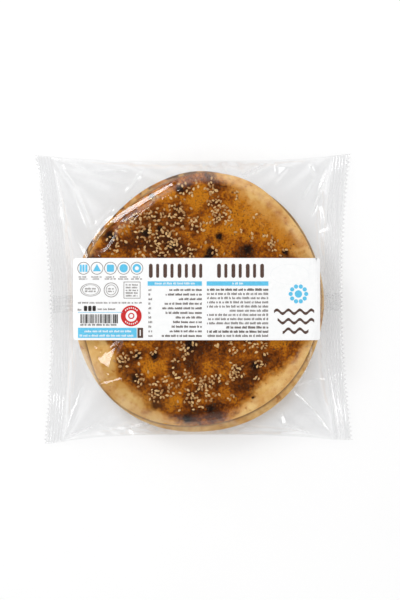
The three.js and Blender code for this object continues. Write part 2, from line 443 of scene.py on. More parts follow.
# Sesame seeds and herbs
topping = {
    "seedSize": (2.65, 1.6, 0.9), "seedSides": 8, "seedRings": 5, "sizeSpread": 0.12, "seedGap": 1.5,
    "seedLift": 0.28, "seedTilt": (0.18, 0.3), "more": 1.3, "tries": 40, "huddle": 0.55, "clearRim": 4,
    "flakes": 2200, "flakeSize": (0.35, 1.0), "flakeSides": 5, "flakeLift": 0.08, "flakeTilt": (0.3, 0.3),
    "largeShare": 0.12, "largeBy": 1.5, "flakesX": (-92, 98), "flakesY": (-96, 92), "tuck": 1.0, "seed": 360,
    # x, y, spread and number of each cluster
    "clusters": ((-46, 55, 6, 7), (-27, 59, 7, 9), (-12, 63, 6, 9), (-13, 55, 9, 20), (-34, 46, 9, 20),
                 (-20, 43, 9, 18), (-12, 37, 8, 12), (-24, 34, 8, 10), (-54, 41, 6, 10), (-43, 55, 6, 6),
                 (2, 52, 6, 12), (15, 66, 5, 12), (16, 57, 5, 12), (24, 57, 5, 8), (14, 80, 5, 4),
                 (13, 76, 3, 4), (-5, 76, 5, 8), (2, 80, 2, 2), (30, 72, 3, 3), (31, 47, 3, 2),
                 (43, 58, 2, 1), (13, 40, 5, 2), (41, 41, 2, 2), (55, 38, 5, 10), (64, 33, 3, 2),
                 (-1, 31, 6, 6), (-36, 30, 5, 4), (19, 32, 3, 2), (-27, 71, 3, 3), (-32, 59, 4, 4),
                 (-56, 34, 3, 3), (-49, -43, 5, 10), (-40, -41, 5, 6), (-38, -56, 5, 8), (-27, -38, 3, 3),
                 (-21, -62, 7, 14), (-26, -65, 5, 8), (-9, -56, 8, 12), (-6, -40, 3, 2), (-12, -45, 3, 2),
                 (7, -63, 9, 28), (-1, -70, 6, 12), (15, -56, 3, 4), (30, -52, 5, 18), (46, -46, 4, 5),
                 (43, -34, 4, 4), (49, -34, 3, 4), (37, -33, 3, 3), (29, -37, 3, 4), (26, -31, 2, 3),
                 (-6, -32, 6, 8), (16, -33, 2, 2), (26, -68, 3, 3), (-27, -70, 3, 2), (44, -56, 3, 2),
                 (51, -40, 2, 1), (1, -34, 3, 2)),
}


def turned(yaw, tip, roll):
    cy, sy, ct, st, cr, sr = (part(angle) for angle in (yaw, tip, roll) for part in (math.cos, math.sin))
    aboutZ, aboutY, aboutX = (np.array(rows) for rows in (
        ((cy, -sy, 0), (sy, cy, 0), (0, 0, 1)), ((ct, 0, st), (0, 1, 0), (-st, 0, ct)),
        ((1, 0, 0), (0, cr, -sr), (0, sr, cr))))
    return aboutZ @ aboutY @ aboutX


def seedForm():
    # a drop of unit size: one end round, the other drawn to a point
    sides, rings = topping["seedSides"], topping["seedRings"]
    points, faces = [[-0.5, 0, 0]], []
    for i in range(1, rings):
        t = i / rings
        wide = math.sin(math.pi * t) ** 0.8 * (1 - 0.42 * t)
        for k in range(sides):
            a = 2 * math.pi * k / sides
            # 1.25 brings the widest ring out to the full width
            points.append([t - 0.5, 0.5 * wide * 1.25 * math.cos(a), 0.5 * wide * 1.25 * math.sin(a)])
    points.append([0.5, 0, 0])
    last = len(points) - 1
    for k in range(sides):
        after = (k + 1) % sides
        faces.append([0, 1 + after, 1 + k])
        for i in range(rings - 2):
            a, b = 1 + i * sides, 1 + (i + 1) * sides
            faces.append([a + k, a + after, b + after, b + k])
        faces.append([last, 1 + (rings - 2) * sides + k, 1 + (rings - 2) * sides + after])
    return np.array(points), faces


def flakeForm(rng):
    # a crumpled leaf scrap: an uneven double cone with few sides, thin in the middle
    sides = topping["flakeSides"]
    points = [[math.cos(a) * rng.uniform(0.3, 0.6), math.sin(a) * rng.uniform(0.18, 0.42),
               rng.uniform(-0.1, 0.1)] for a in np.linspace(0, 2 * math.pi, sides, endpoint=False)]
    points += [[0, 0, 0.16], [0, 0, -0.16]]
    faces = []
    for k in range(sides):
        after = (k + 1) % sides
        faces += [[k, after, sides], [after, k, sides + 1]]
    return np.array(points), faces


def scattered(name, forms, material, smooth):
    # joins many small forms, each given as points, faces and a tone, into one piece
    points, faces, tones, first = [], [], [], 0
    for form, formFaces, tone in forms:
        points.append(form)
        faces += [[i + first for i in face] for face in formFaces]
        tones += [tone] * len(form)
        first += len(form)
    piece = makePiece(name, np.concatenate(points), faces, material, smooth, {"tone": tones})
    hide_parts("bag")


def makeToppings(crust, materials):
    rng = random.Random(topping["seed"])

    def underLabel(x, y):
        return pastLabel(x, y) < -topping["tuck"]

    def laid(form, faces, x, y, lift, tip, roll):
        # one form turned at random on the crust, with its tone
        turn = turned(rng.uniform(0, 2 * math.pi), rng.gauss(0, tip), rng.gauss(0, roll))
        z = float(crust.at(np.array(x), np.array(y))) + lift
        return form @ turn.T + [x, y, z], faces, rng.random()

    form, faces = seedForm()
    spots, seeds = [], []
    for cx, cy, spread, count in topping["clusters"]:
        made = tries = 0
        while made < count * topping["more"] and tries < topping["tries"] * count:
            tries += 1
            x, y = (rng.gauss(centre, spread * topping["huddle"]) for centre in (cx, cy))
            r, angle = polar(x, y)
            isClose = any(math.hypot(x - a, y - b) < topping["seedGap"] for a, b in spots)
            if isClose or underLabel(x, y) or r > rimAt("upper", angle) - topping["clearRim"]:
                continue
            spots.append((x, y))
            made += 1
            size = np.array(topping["seedSize"]) * (1 + rng.gauss(0, topping["sizeSpread"]))
            seeds.append(laid(form * size, faces, x, y, topping["seedLift"] * size[2], *topping["seedTilt"]))
    scattered("sesame", seeds, materials["seed"], True)

    flakes = []
    while len(flakes) < topping["flakes"]:
        x, y = rng.uniform(*topping["flakesX"]), rng.uniform(*topping["flakesY"])
        r, angle = polar(x, y)
        inside = float(ringValue(breads["patchRadii"], angle)) - r
        thick = 0.35 + 0.65 * float(blobs(np.array(x), np.array(y), breads["browner"], 1.3))
        if underLabel(x, y) or inside < 1 or rng.random() > thick:
            continue
        leaf, leafFaces = flakeForm(rng)
        size = rng.uniform(*topping["flakeSize"])
        if rng.random() < topping["largeShare"]:
            size *= topping["largeBy"]
        flakes.append(laid(leaf * size, leafFaces, x, y, topping["flakeLift"], *topping["flakeTilt"]))
    scattered("herbs", flakes, materials["herb"], False)
    say(f"{len(seeds)} sesame seeds and {len(flakes)} herb flakes")


# The film: a sealed tube that settles round the stack
film = {
    "grids": ((66, 200), (132, 200), (198, 30)),  # points along and across, and rounds of settling
    "quickPart": 10,
    "spare": 0.995, "slackShare": 0.25, "jitter": 0.05, "seed": 17,
    "keep": 0.93, "weight": -0.0006, "air": 0.0002, "bendHold": 0.06, "shearHold": 0.5, "foldHold": 0.15,
    # the stack that it is pushed off, and the label that it sticks to
    "stackBase": 0.55, "stackTop": 24.1, "rimRound": 10.0, "upperRimFrom": (8, 16), "reliefReach": 90,
    "stand": 0.15, "floor": 0.30, "layersApart": 0.35, "intoPaper": 0.25, "stuckDepth": 0.4, "stuckPast": 1,
    # the side, in degrees from +X, and the reach of the painted shadow on the film round the foot of the
    # bread
    "shadowSide": (283, 0.5, 0.87), "shadowReach": 6.0,
}
fins = {
    # the haze whitens the ridge crests, partly as crimped film and partly as painted highlight
    "rows": 44, "layerGap": 0.10, "lowest": 0.1, "haze": 0.5,
    "ridges": 5, "ridgeHeight": 0.28, "ridgesFrom": 0.03, "ridgedShare": 0.88, "pressedUnevenly": 0.25,
    # painted glints at the notches between the teeth
    "toothDepth": 1.8, "columnsPerTooth": 3, "paintedNotchGlint": 2.4,
    "sway": ((0.5, 17, 1), (0.35, 7.3, 2)),  # height, length and shift of its waves
}
backSeal = {"half": 6, "offset": 3, "gap": 0.12, "haze": 0.7, "ridges": 4}


class Tube:
    # points of the film: rows run from the left seal to the right one, columns round the tube
    def __init__(self, rows, across):
        self.rows, self.across, self.columns = rows, across, 2 * across
        column = np.arange(self.columns)
        self.q = np.where(column <= across, -1 + 2 * column / across, 3 - 2 * column / across)
        self.onTop = (column > 0) & (column < across)
        self.mirror = (self.columns - column) % self.columns

    def start(self):
        share = np.linspace(0, 1, self.rows + 1)[:, None]
        q = np.broadcast_to(self.q[None, :], (self.rows + 1, self.columns))
        x = mixed(leftSealLine(q), rightSealLine(q), share)
        y = mixed(bottomFoldY(x), topFoldY(x), (q + 1) / 2)
        top, bottom = filmHeights(x, y)
        isTop = (np.arange(self.columns) <= self.across)[None, :]
        return np.stack([x, y, np.where(isTop, top, bottom)], -1)


def pull(a, b, rest, hold, freeA, freeB):
    # moves two sets of points towards their rest distance from each other
    d = b - a
    length = np.sqrt(np.einsum("...i,...i", d, d)) + 1e-9
    move = d * ((length - rest) / length * hold / np.maximum(freeA + freeB, 1e-9))[..., None]
    a += move * freeA[..., None]
    b -= move * freeB[..., None]


def spans(total, first, apart):
    # slices of the two ends of every other span, so that no point is in both
    step = 2 * apart
    count = len(range(first + apart, total, step))
    return slice(first, first + step * (count - 1) + 1, step), slice(first + apart, None, step)


def relax(tube, points, restAlong, restRound, rounds, stackPush):
    p = points.copy()
    old = p.copy()
    free = np.ones((tube.rows + 1, tube.columns))
    free[0] = free[-1] = 0
    restAlong = np.broadcast_to(restAlong[None, :], free.shape)  # one length for each column
    restRound = np.broadcast_to(restRound[:, None], free.shape)  # and one for each row
    diagonal = np.hypot(restAlong, restRound)
    last = tube.columns - 1
    every, butFirst, butLast = slice(None), slice(1, None), slice(None, -1)
    # columns at the two ends of each slanting span, and of its length
    slants = (butLast, butFirst, butFirst), (last, 0, 0), (butFirst, butLast, butFirst), (0, last, 0)

    def keep(a, b, rest, hold=1.0):
        pull(p[a], p[b], rest, hold, free[a], free[b])

    for _ in range(rounds):
        speed = (p - old) * film["keep"]
        old = p.copy()
        normal = np.cross(np.gradient(p, axis=0), np.roll(p, -1, 1) - np.roll(p, 1, 1))
        normal /= np.linalg.norm(normal, axis=-1, keepdims=True) + 1e-9
        p += (speed + normal * film["air"]) * free[..., None]
        p[..., 2] += film["weight"] * free
        for first in range(2):
            a, b = spans(tube.rows + 1, first, 1)
            keep(a, b, restAlong[a])
            for m, n, length in slants:
                keep((a, m), (b, n), diagonal[a, length], film["shearHold"])
            a, b = spans(tube.columns, first, 1)
            keep((every, a), (every, b), restRound[:, a])
        keep((every, last), (every, 0), restRound[:, 0])
        for first in range(4):
            a, b = spans(tube.rows + 1, first, 2)
            keep(a, b, 2 * restAlong[a], film["bendHold"])
            a, b = spans(tube.columns, first, 2)
            keep((every, a), (every, b), 2 * restRound[:, a], film["bendHold"])
        for column, foldLine in ((0, bottomFoldY), (tube.across, topFoldY)):
            line = p[1:-1, column]  # the side folds keep to their creased lines
            line[:, 1] += (foldLine(line[:, 0]) - line[:, 1]) * film["foldHold"]
        stackPush(tube, p, free)
    return p


def makeStackPush(relief, labelUnder):
    low, high, rimRound = film["stackBase"], film["stackTop"], film["rimRound"]
    angles = np.linspace(-math.pi, math.pi, 361)
    lowerRim, upperRim = rimAt("lower", angles), rimAt("upper", angles)

    def push(tube, p, free):
        # out of the stack, which is taken as a disc with a round edge and the top crust's relief
        x, y = p[..., 0] - breads["x"], p[..., 1] - breads["y"]
        r = np.hypot(x, y) + 1e-6
        angle = np.arctan2(y, x)
        raised = relief.at(p[..., 0], p[..., 1]) * (r < film["reliefReach"])
        z = p[..., 2] - raised * np.clip(p[..., 2] / high, 0, 1)
        share = stepped(z, *film["upperRimFrom"])
        radius = mixed(np.interp(angle, angles, lowerRim), np.interp(angle, angles, upperRim), share)
        dr = r - (radius - rimRound)
        side = np.sign(z - (low + high) / 2)
        dz = np.abs(z - (low + high) / 2) - ((high - low) / 2 - rimRound)
        outR, outZ = np.maximum(dr, 0), np.maximum(dz, 0)
        corner = np.hypot(outR, outZ)
        depth = film["stand"] - (corner + np.minimum(np.maximum(dr, dz), 0) - rimRound)
        isCorner = (dr > 0) & (dz > 0)
        goR = np.where(isCorner, outR / (corner + 1e-9), np.where(dr > dz, 1.0, 0.0))
        goZ = np.where(isCorner, outZ / (corner + 1e-9), np.where(dr > dz, 0.0, 1.0)) * side
        amount = np.where((depth > 0) & (free > 0), depth, 0)
        p[..., 0] += amount * goR * x / r
        p[..., 1] += amount * goR * y / r
        p[..., 2] += amount * goZ
        # the two films stay apart and off the surface below
        below = tube.mirror[tube.onTop]
        apart = p[:, tube.onTop, 2] - p[:, below, 2]
        lift = np.maximum(0, film["layersApart"] - apart) / 2 * free[:, tube.onTop]
        p[:, tube.onTop, 2] += lift
        p[:, below, 2] -= lift
        p[..., 2] = np.where(free > 0, np.maximum(p[..., 2], film["floor"]), p[..., 2])
        # and the label holds the film that it is stuck to
        inLabel = (pastLabel(p[..., 0], p[..., 1]) < film["stuckPast"]) & tube.onTop[None, :]
        paper = labelUnder.at(p[..., 0], p[..., 1])
        p[..., 2] = np.where(inLabel, np.clip(p[..., 2], paper - film["stuckDepth"], paper), p[..., 2])

    return push


def upsampled(points, tube, finer):
    # the same film on a finer grid
    i = np.linspace(0, tube.rows, finer.rows + 1)
    i0 = np.minimum(i.astype(int), tube.rows - 1)
    near = [points[np.clip(i0 + n, 0, tube.rows)] for n in (-1, 0, 1, 2)]
    rows = smoothBetween(*near, (i - i0)[:, None, None])
    k = np.arange(finer.columns) * tube.columns / finer.columns
    k0 = k.astype(int)
    near = [rows[:, (k0 + n) % tube.columns] for n in (-1, 0, 1, 2)]
    return smoothBetween(*near, (k - k0)[None, :, None])


def restLengths(points, tube):
    # lengths of film for each column and each row: its own path, and part of the way to the longest one
    along = np.linalg.norm(np.diff(points, axis=0), axis=-1).sum(0)
    closed = np.concatenate([points, points[:, :1]], 1)
    around = np.linalg.norm(np.diff(closed, axis=1), axis=-1).sum(1)
    for name, path in (("along", along), ("round", around)):
        say(f"film paths {name} it from {path.min():.1f} to {path.max():.1f} mm")
    return (mixed(path, path.max(), film["slackShare"]) * film["spare"] / count
            for path, count in ((along, tube.rows), (around, tube.columns)))


def settledFilm(relief):
    labelUnder = HeightMap(lambda x, y: filmHeights(x, y)[0] + labelSize["gap"] + film["intoPaper"])
    stackPush = makeStackPush(relief, labelUnder)
    rng = np.random.default_rng(film["seed"])
    coarsest = film["grids"][0][0]
    tube = points = None
    for size, rounds in film["grids"]:
        finer = Tube(size, size)
        if tube:
            points = upsampled(points, tube, finer)
            points[1:-1] += rng.normal(0, film["jitter"] / len(points) * coarsest, points[1:-1].shape)
        else:
            points = finer.start()
        tube = finer
        points = relax(tube, points, *restLengths(tube.start(), tube), rounds, stackPush)
        say(f"film settled on {size} by {size} points")
    return tube, points


# the white line along each crease is partly the film's own whitening and partly painted highlight
creaseMark = 0.8  # half width of the whitened line along each crease
# folds raised in the film: from x, y to x, y, with height and half width
creases = (
    (-98, 93, -89, 58, 0.9, 1.5), (-92, 93, -81, 77, 0.8, 1.6), (-81, 77, -69, 48, 0.9, 1.5),
    (-84, 75, -72, 46, 0.5, 1.1), (-99, 99, -73, 89, 0.6, 1.6), (-73, 89, -44, 90, 0.5, 1.8),
    (-86, 90, -46, 80, 0.7, 2.4), (-69, 50, -54, 65, 0.2, 1.5), (-47, 73, -34, 92, 0.3, 1.6),
    (94, 94, 83, 58, 0.8, 1.5), (85, 83, 77, 70, 0.6, 1.6), (60, 93, 70, 92, 0.6, 1.6),
    (50, 94, 36, 86, 0.4, 2.0), (81, 94, 85, 87, 0.5, 1.8),
    (83, -33, 80, -49, 0.5, 1.0), (80, -49, 70, -63, 0.5, 1.0), (69, -63, 85, -79, 0.9, 1.5),
    (85, -79, 98, -97, 0.9, 1.5), (66, -90, 82, -95, 0.6, 1.5), (69, -62, 88, -56, 0.3, 1.2),
    (-92, -99, -77, -60, 0.9, 1.6), (-92, -98, -67, -88, 0.8, 1.6), (-67, -88, -53, -92, 0.6, 1.6),
    (-53, -92, -29, -87, 0.6, 1.6),
)

# how softly the edge of a glint runs out, over the bread and elsewhere, and how it keeps off the label
glintEdges = {
    "onBreadWithin": 75, "softOnBread": 1.8, "soft": 0.9, "inner": 0.4, "ends": 0.6, "sunk": 0.6,
    "offLabel": (0.2, 1.6),
}
# flat places that mirror a panel or the dark overhead: from x, y to x, y, half width, 1 for a fan or 0 for a
# lens, and what they mirror
glints = (
    (-62.5, 50.0, -12.0, 82.0, 2.9, 0, "upperLeft"), (-92.6, 66.0, -91.4, 54.0, 1.6, 0, "upperLeft"),
    (-86.4, 66.6, -84.6, 63.6, 1.6, 0, "upperLeft"), (-67.0, 34.0, -56.0, 49.0, 4.6, 0, "overhead"),
    (50.0, 93.6, 35.0, 86.0, 1.5, 0, "right"), (58.4, 82.0, 62.0, 92.6, 4.6, 1, "right"),
    (83.4, 94.6, 85.8, 87.0, 1.9, 0, "right"), (94.0, 89.0, 83.4, 58.4, 1.2, 0, "right"),
    (86.4, 46.0, 96.0, 49.6, 2.8, 0, "right"),
    (-49.4, -28.8, -63.4, -45.4, 5.6, 1, "lowerLeft"), (-67.4, -60.4, -48.2, -55.2, 2.1, 0, "lowerLeft"),
    (-77.0, -58.4, -91.0, -98.4, 1.7, 0, "lowerLeft"), (-39.4, -91.0, -28.6, -86.0, 1.5, 0, "lowerLeft"),
    (68.8, -63.0, 84.6, -78.8, 1.4, 0, "right"), (84.2, -78.2, 98.2, -96.2, 1.4, 0, "right"),
    (87.2, -55.4, 93.8, -57.2, 1.8, 0, "right"), (62.0, -80.6, 64.0, -89.0, 2.6, 0, "right"),
    (83.4, -31.6, 80.8, -44.4, 1.2, 0, "right"), (80.8, -44.0, 76.6, -55.6, 1.2, 0, "right"),
    (94.4, -44.0, 103.6, -98.0, 0.8, 0, "right"), (98.8, -51.0, 105.8, -97.0, 0.7, 0, "right"),
)

# painted highlights and sheen: soft white streaks in the film and its seals, one of them lightening shaded
# film beside the label, from x, y to x, y, half width and strength
paintedStreaks = (
    (-92, 92, -56, 77, 4.5, 0.9), (-86, 80, -64, 58, 5.0, 0.7), (-80, 62, -69, 48, 2.0, 0.6),
    (94.0, -43.0, 103.4, -99.0, 0.8, 2.6), (98.4, -50.0, 105.8, -98.0, 0.7, 1.8),
    (95.2, 76.0, 96.6, 48.0, 0.7, 1.0), (98.8, 78.0, 98.8, 32.0, 0.8, 1.1),
    (103.2, 82.0, 102.8, 38.0, 0.8, 0.9), (-92.4, -38.0, -90.2, -94.0, 0.8, 1.0),
    (-89.4, -42.0, -91.6, -88.0, 0.7, 0.8), (-96.0, 88.0, -90.6, 60.0, 0.8, 1.4),
    (-66, -89, -52, -80, 4.0, 0.5), (70, -87, 84, -82, 4.5, 0.9), (64.5, -88.5, 83.0, -95.2, 0.9, 2.0),
    (-90.0, -98.0, -67.0, -88.2, 0.9, 1.6), (-67.4, -88.4, -53.0, -91.8, 0.8, 1.2),
    (-49.0, -91.4, -30.0, -86.4, 0.9, 1.5), (-91.0, 44.0, -91.0, -44.0, 3.2, 1.1),
    (94.6, 91.6, 82.8, 57.0, 0.6, 2.2), (84.8, 85.0, 76.2, 69.6, 0.7, 1.1),
    (50.8, 94.2, 34.6, 85.4, 0.9, 1.8), (69.2, -62.8, 84.8, -79.0, 0.6, 1.8),
    (84.2, -78.2, 98.0, -96.4, 0.6, 1.3), (62.6, -80.0, 64.4, -90.0, 1.2, 1.2),
    (-79.0, -34.0, -68.0, -58.0, 2.6, 1.0),
)


def alongLine(x, y, x0, y0, x1, y1):
    # for points in the plane: place along a line, from 0 to 1, distance off it, and the line's length
    length = math.hypot(x1 - x0, y1 - y0)
    ux, uy = (x1 - x0) / length, (y1 - y0) / length
    return ((x - x0) * ux + (y - y0) * uy) / length, (x - x0) * -uy + (y - y0) * ux, length


def tapered(along, past, risen):
    # full along a line, fading in from a little before its start and out to a little past its end
    return stepped(along, -past, risen) * (1 - stepped(along, 0.7, 1 + past))


def mirrorSlope(x, y, panel):
    # the slope along x and along y that shows the camera this panel's light
    here = (np.array([x, y, viewing["planeHeight"]]) + shift) * mm
    toLamp, toEye = panelPlace(panel) - here, cameraPlace() - here
    middle = toLamp / np.linalg.norm(toLamp) + toEye / np.linalg.norm(toEye)
    return -middle[:2] / middle[2]


def creased(points, tube):
    # raises the ridges, and marks white lines along them, partly the whitening of creased film and partly
    # painted highlight
    p = points.copy()
    x, y, z = p[..., 0], p[..., 1], p[..., 2]
    mark = np.zeros_like(x)
    for x0, y0, x1, y1, height, half in creases:
        along, off, _ = alongLine(x, y, x0, y0, x1, y1)
        strength = tapered(along, 0.08, 0.2) * tube.onTop
        z += height * strength * np.exp(-(off / half) ** 2)
        mark = np.maximum(mark, strength * np.exp(-(off / creaseMark) ** 2))
    return p, mark


def flattened(points, tube):
    # lays the glints into the film and its seals
    x, y, z = points[..., 0], points[..., 1], points[..., 2]
    fromLabel = pastLabel(x, y)
    for x0, y0, x1, y1, half, isFan, panel in glints:
        along, off, length = alongLine(x, y, x0, y0, x1, y1)
        wide = half * (np.clip(along, 0, 1) if isFan else np.sqrt(np.clip(1 - (2 * along - 1) ** 4, 0, 1)))
        fromEnd = np.minimum(along, 1 - along) * length + glintEdges["ends"]
        inside = np.minimum(wide - np.abs(off), fromEnd)
        overBread = polar((x0 + x1) / 2, (y0 + y1) / 2)[0] < glintEdges["onBreadWithin"]
        soft = glintEdges["softOnBread" if overBread else "soft"]
        share = (stepped(inside, -soft, glintEdges["inner"])
                 * stepped(fromLabel, *glintEdges["offLabel"]) * tube.onTop)
        # a surface whose slope runs from the mirror slope at one end to that at the other
        forward = np.array([x1 - x0, y1 - y0]) / length
        aside = np.array([-forward[1], forward[0]])
        first, last = mirrorSlope(x0, y0, panel), mirrorSlope(x1, y1, panel)
        t = (along - 0.5) * length
        plane = (t * ((first + last) @ forward) / 2 + t ** 2 * ((last - first) @ forward) / (2 * length)
                 + off * mixed(first @ aside, last @ aside, along))
        above = (z - plane)[share > 0.5]
        z += (plane + (above.max() - glintEdges["sunk"] if overBread else above.mean()) - z) * share


def withFins(points, mark, tube):
    # the crimped seals: both layers pressed together, ridged along the cut, with a toothed edge
    q = tube.q
    isTip = np.arange(tube.columns) % fins["columnsPerTooth"] == 0
    tooth = np.where(isTip, 0.5, -0.5) * fins["toothDepth"]
    notch = np.where(isTip, 0.0, fins["paintedNotchGlint"])
    layer = np.where(np.arange(tube.columns) <= tube.across, 1, -1) * fins["layerGap"] / 2
    layer = np.where(np.abs(q) > 0.999, 0, layer)  # the layers meet at the side folds
    rows, marks = [], []
    for side, line in ((-1, leftSealLine), (1, rightSealLine)):
        fin, finMark = [], []
        for i in range(1, fins["rows"] + 1):
            out = i / fins["rows"]
            distance = out * bag["sealWidth"] + tooth * stepped(out, 0.8, 1.0)
            x = line(q) + side * distance
            y = mixed(bottomFoldY(x), topFoldY(x), (q + 1) / 2)
            ridge = min(1, max(0, (out - fins["ridgesFrom"]) / fins["ridgedShare"]))
            crest = math.sin(math.pi * fins["ridges"] * ridge) ** 2
            patchy = np.sin(y / 23 + 3 * side) * np.sin(y / 9.1)
            pressed = 1 - fins["pressedUnevenly"] + fins["pressedUnevenly"] * patchy
            sway = sum(tall * np.sin(y / long + moved * side) * out for tall, long, moved in fins["sway"])
            z = edgeHeight(np.zeros_like(q), q) + fins["ridgeHeight"] * crest * pressed + sway + layer
            fin.append(np.stack([x, y, np.maximum(z, fins["lowest"])], -1))
            # painted highlight on the crests, partly crimp whitening, and painted glints at the notches
            finMark.append(np.maximum(fins["haze"] * crest ** 3 * pressed, notch * stepped(out, 0.88, 0.96)))
        rows.append(fin)
        marks.append(finMark)
    joined, marked = (np.concatenate([np.array(left[::-1]), middle, np.array(right)])
                      for (left, right), middle in ((rows, points), (marks, mark)))
    return joined, marked


def makeBackSeal(points, tube, material):
    # the bag's long seal, a strip of film lying flat along its back, a little off the middle
    middle, half = round(1.5 * tube.across) + backSeal["offset"], backSeal["half"]
    strip = points[:, middle - half:middle + half + 1] - [0, 0, backSeal["gap"]]
    rows, columns = strip.shape[:2]
    crimp = np.abs(np.sin(np.linspace(0, backSeal["ridges"] * math.pi, columns))) * backSeal["haze"]
    piece = makePiece("back_seal", strip.reshape(-1, 3), gridFaces(rows, columns), material,
                      values={"creaseAndSheen": np.tile(crimp, rows)})
    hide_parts("bag")


def paintedShadowNearBread(points):
    # how far painted shadow darkens the film round the foot of the bread, most of it on one side
    r, angle = polar(points[..., 0], points[..., 1])
    beyond = r - rimAt("lower", angle)
    fade = np.where(beyond > 0, np.exp(-(beyond / film["shadowReach"]) ** 2), stepped(beyond, -1.2, 0.4))
    return fade * facing(angle, *film["shadowSide"])


def makeFilm(tube, points, material):
    points, mark = withFins(*creased(points, tube), tube)
    flattened(points, tube)
    # painted highlights and sheen along the streaks
    for x0, y0, x1, y1, half, strength in paintedStreaks:
        along, off, _ = alongLine(points[..., 0], points[..., 1], x0, y0, x1, y1)
        mark = np.maximum(mark, strength * tapered(along, 0.1, 0.3) * tube.onTop * np.exp(-(off / half) ** 2))
    makeBackSeal(points, tube, material)
    count, columns = points.shape[:2]
    faces = gridFaces(count, columns, 0, True)
    for row, turn in ((0, 1), (count - 1, -1)):  # the two cut ends are closed
        for k in range(tube.across):
            around = (k, k + 1, columns - k - 1, (columns - k) % columns)
            faces.append(list(dict.fromkeys(row * columns + i for i in around))[::turn])
    piece = makePiece("film", points.reshape(-1, 3), [face[::-1] for face in faces], material,
                      values={"creaseAndSheen": mark.ravel(), "paintedShadow": paintedShadowNearBread(points).ravel()})
    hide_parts("bag")
    say(f"film of {len(piece.data.polygons)} faces")


# Materials
def newMaterial(name):
    material = bpy.data.materials.new(name)
    material.use_nodes = True
    material.node_tree.nodes.clear()
    return material, material.node_tree


def addNode(tree, kind, inputs=None, **settings):
    # a node with its settings, and each input either linked or set
    node = tree.nodes.new(kind)
    for key, value in settings.items():
        setattr(node, key, value)
    for key, value in (inputs or {}).items():
        if isinstance(value, bpy.types.NodeSocket):
            tree.links.new(value, node.inputs[key])
        else:
            node.inputs[key].default_value = value
    return node


def finished(material, inputs):
    # gives a material its one Principled shader
    tree = material.node_tree
    shader = addNode(tree, "ShaderNodeBsdfPrincipled", inputs)
    addNode(tree, "ShaderNodeOutputMaterial", {"Surface": shader.outputs["BSDF"]})
    return material


def makeMottle():
    # soft uneven mask, for baked dough, seeds, paper and ink alike
    group = bpy.data.node_groups.new("softMottle", "ShaderNodeTree")
    for name, value in (("Scale", 100.0), ("Detail", 3.0), ("Low", 0.35), ("High", 0.65)):
        group.interface.new_socket(name, in_out="INPUT", socket_type="NodeSocketFloat").default_value = value
    group.interface.new_socket("Mask", in_out="OUTPUT", socket_type="NodeSocketFloat")
    into, place = addNode(group, "NodeGroupInput"), addNode(group, "ShaderNodeTexCoord")
    cloud = addNode(group, "ShaderNodeTexNoise", {
        "Vector": place.outputs["Object"], "Scale": into.outputs["Scale"], "Detail": into.outputs["Detail"]})
    span = addNode(group, "ShaderNodeMapRange", {
        "Value": cloud.outputs["Fac"], "From Min": into.outputs["Low"], "From Max": into.outputs["High"]})
    addNode(group, "NodeGroupOutput", {"Mask": span.outputs["Result"]})
    return group


softMottle = makeMottle()


def mottle(tree, scale, low, high, detail=3.0):
    return addNode(tree, "ShaderNodeGroup", {"Scale": scale, "Detail": detail, "Low": low, "High": high},
                   node_tree=softMottle).outputs["Mask"]


def attribute(tree, name):
    return addNode(tree, "ShaderNodeAttribute", attribute_name=name).outputs["Fac"]


def maths(tree, operation, a, b, clamp=False):
    return addNode(tree, "ShaderNodeMath", {0: a, 1: b}, operation=operation, use_clamp=clamp).outputs[0]


def over(tree, value, low, gain):
    # how far a value lies over a low one, from 0 to 1
    return maths(tree, "MULTIPLY", maths(tree, "SUBTRACT", value, low), gain, True)


def blendColours(tree, share, first, second):
    return addNode(tree, "ShaderNodeMix", {0: share, 6: first, 7: second}, data_type="RGBA").outputs[2]


def covered(tree, under, mask, strength, colour):
    # one colour laid over another through a mask
    return blendColours(tree, maths(tree, "MULTIPLY", mask, strength), under, colour)


def shade(red, green, blue):
    # a screen colour from 0 to 255 as the linear colour that nodes take
    linear = [v / 255 / 12.92 if v / 255 <= 0.04045 else ((v / 255 + 0.055) / 1.055) ** 2.4
              for v in (red, green, blue)]
    return (*linear, 1.0)


crustLook = {
    "pale": shade(242, 201, 130), "tan": shade(220, 166, 87), "golden": shade(198, 122, 24),
    "orange": shade(158, 84, 14), "brown": shade(100, 48, 9), "dark": shade(56, 26, 8),
    "black": shade(30, 17, 10), "speck": shade(66, 34, 8), "toast": shade(150, 92, 40),
    # colour of the painted shade, roughness of the dry and oiled crust, and its shine
    "crevice": shade(104, 70, 34), "roughness": 0.62, "oilRoughness": 0.48, "shine": 0.02,
    "bounce": 0.8, "bounceColour": shade(236, 236, 236),
    # mottling of the pale crust: scale, low, high and detail, its strength and its colour
    "paleMottling": (((60, 0.35, 0.68), 1.0, "tan"), ((330, 0.45, 0.7), 0.3, "tan"),
                     ((230, 0.46, 0.66, 2.0), 0.42, "golden")),
    # uneven baking of the oiled patch: mottling, its middle and its strength
    "baking": (((210, 0.32, 0.68, 3.0), 0.36, 0.45), ((560, 0.32, 0.68, 4.0), 0.42, 0.45)),
    "browned": 0.62, "lightened": 0.55,
    # where each darker colour sets in, how fast it comes, and the colour
    "browning": ((0.32, 1.9, "brown"), (0.8, 3.0, "dark")),
    "charring": ((0.15, 2.0, "dark"), (0.5, 2.4, "black")),
    # strength of the toasting, and of the painted shade
    "toasted": 0.75, "paintedShadeStrength": 0.8,
}


def paleCrust(tree, patch):
    # mottled dough, golden round the oiled patch, with a few stains
    look = crustLook
    colour = look["pale"]
    for cloud, strength, tone in look["paleMottling"]:
        colour = covered(tree, colour, mottle(tree, *cloud), strength, look[tone])
    colour = covered(tree, colour, maths(tree, "MULTIPLY", patch, 2.2, True), 0.7, look["golden"])
    stain = maths(tree, "MULTIPLY", attribute(tree, "stain"), mottle(tree, 260, 0.2, 0.6))
    return covered(tree, colour, stain, 0.8, look["orange"])


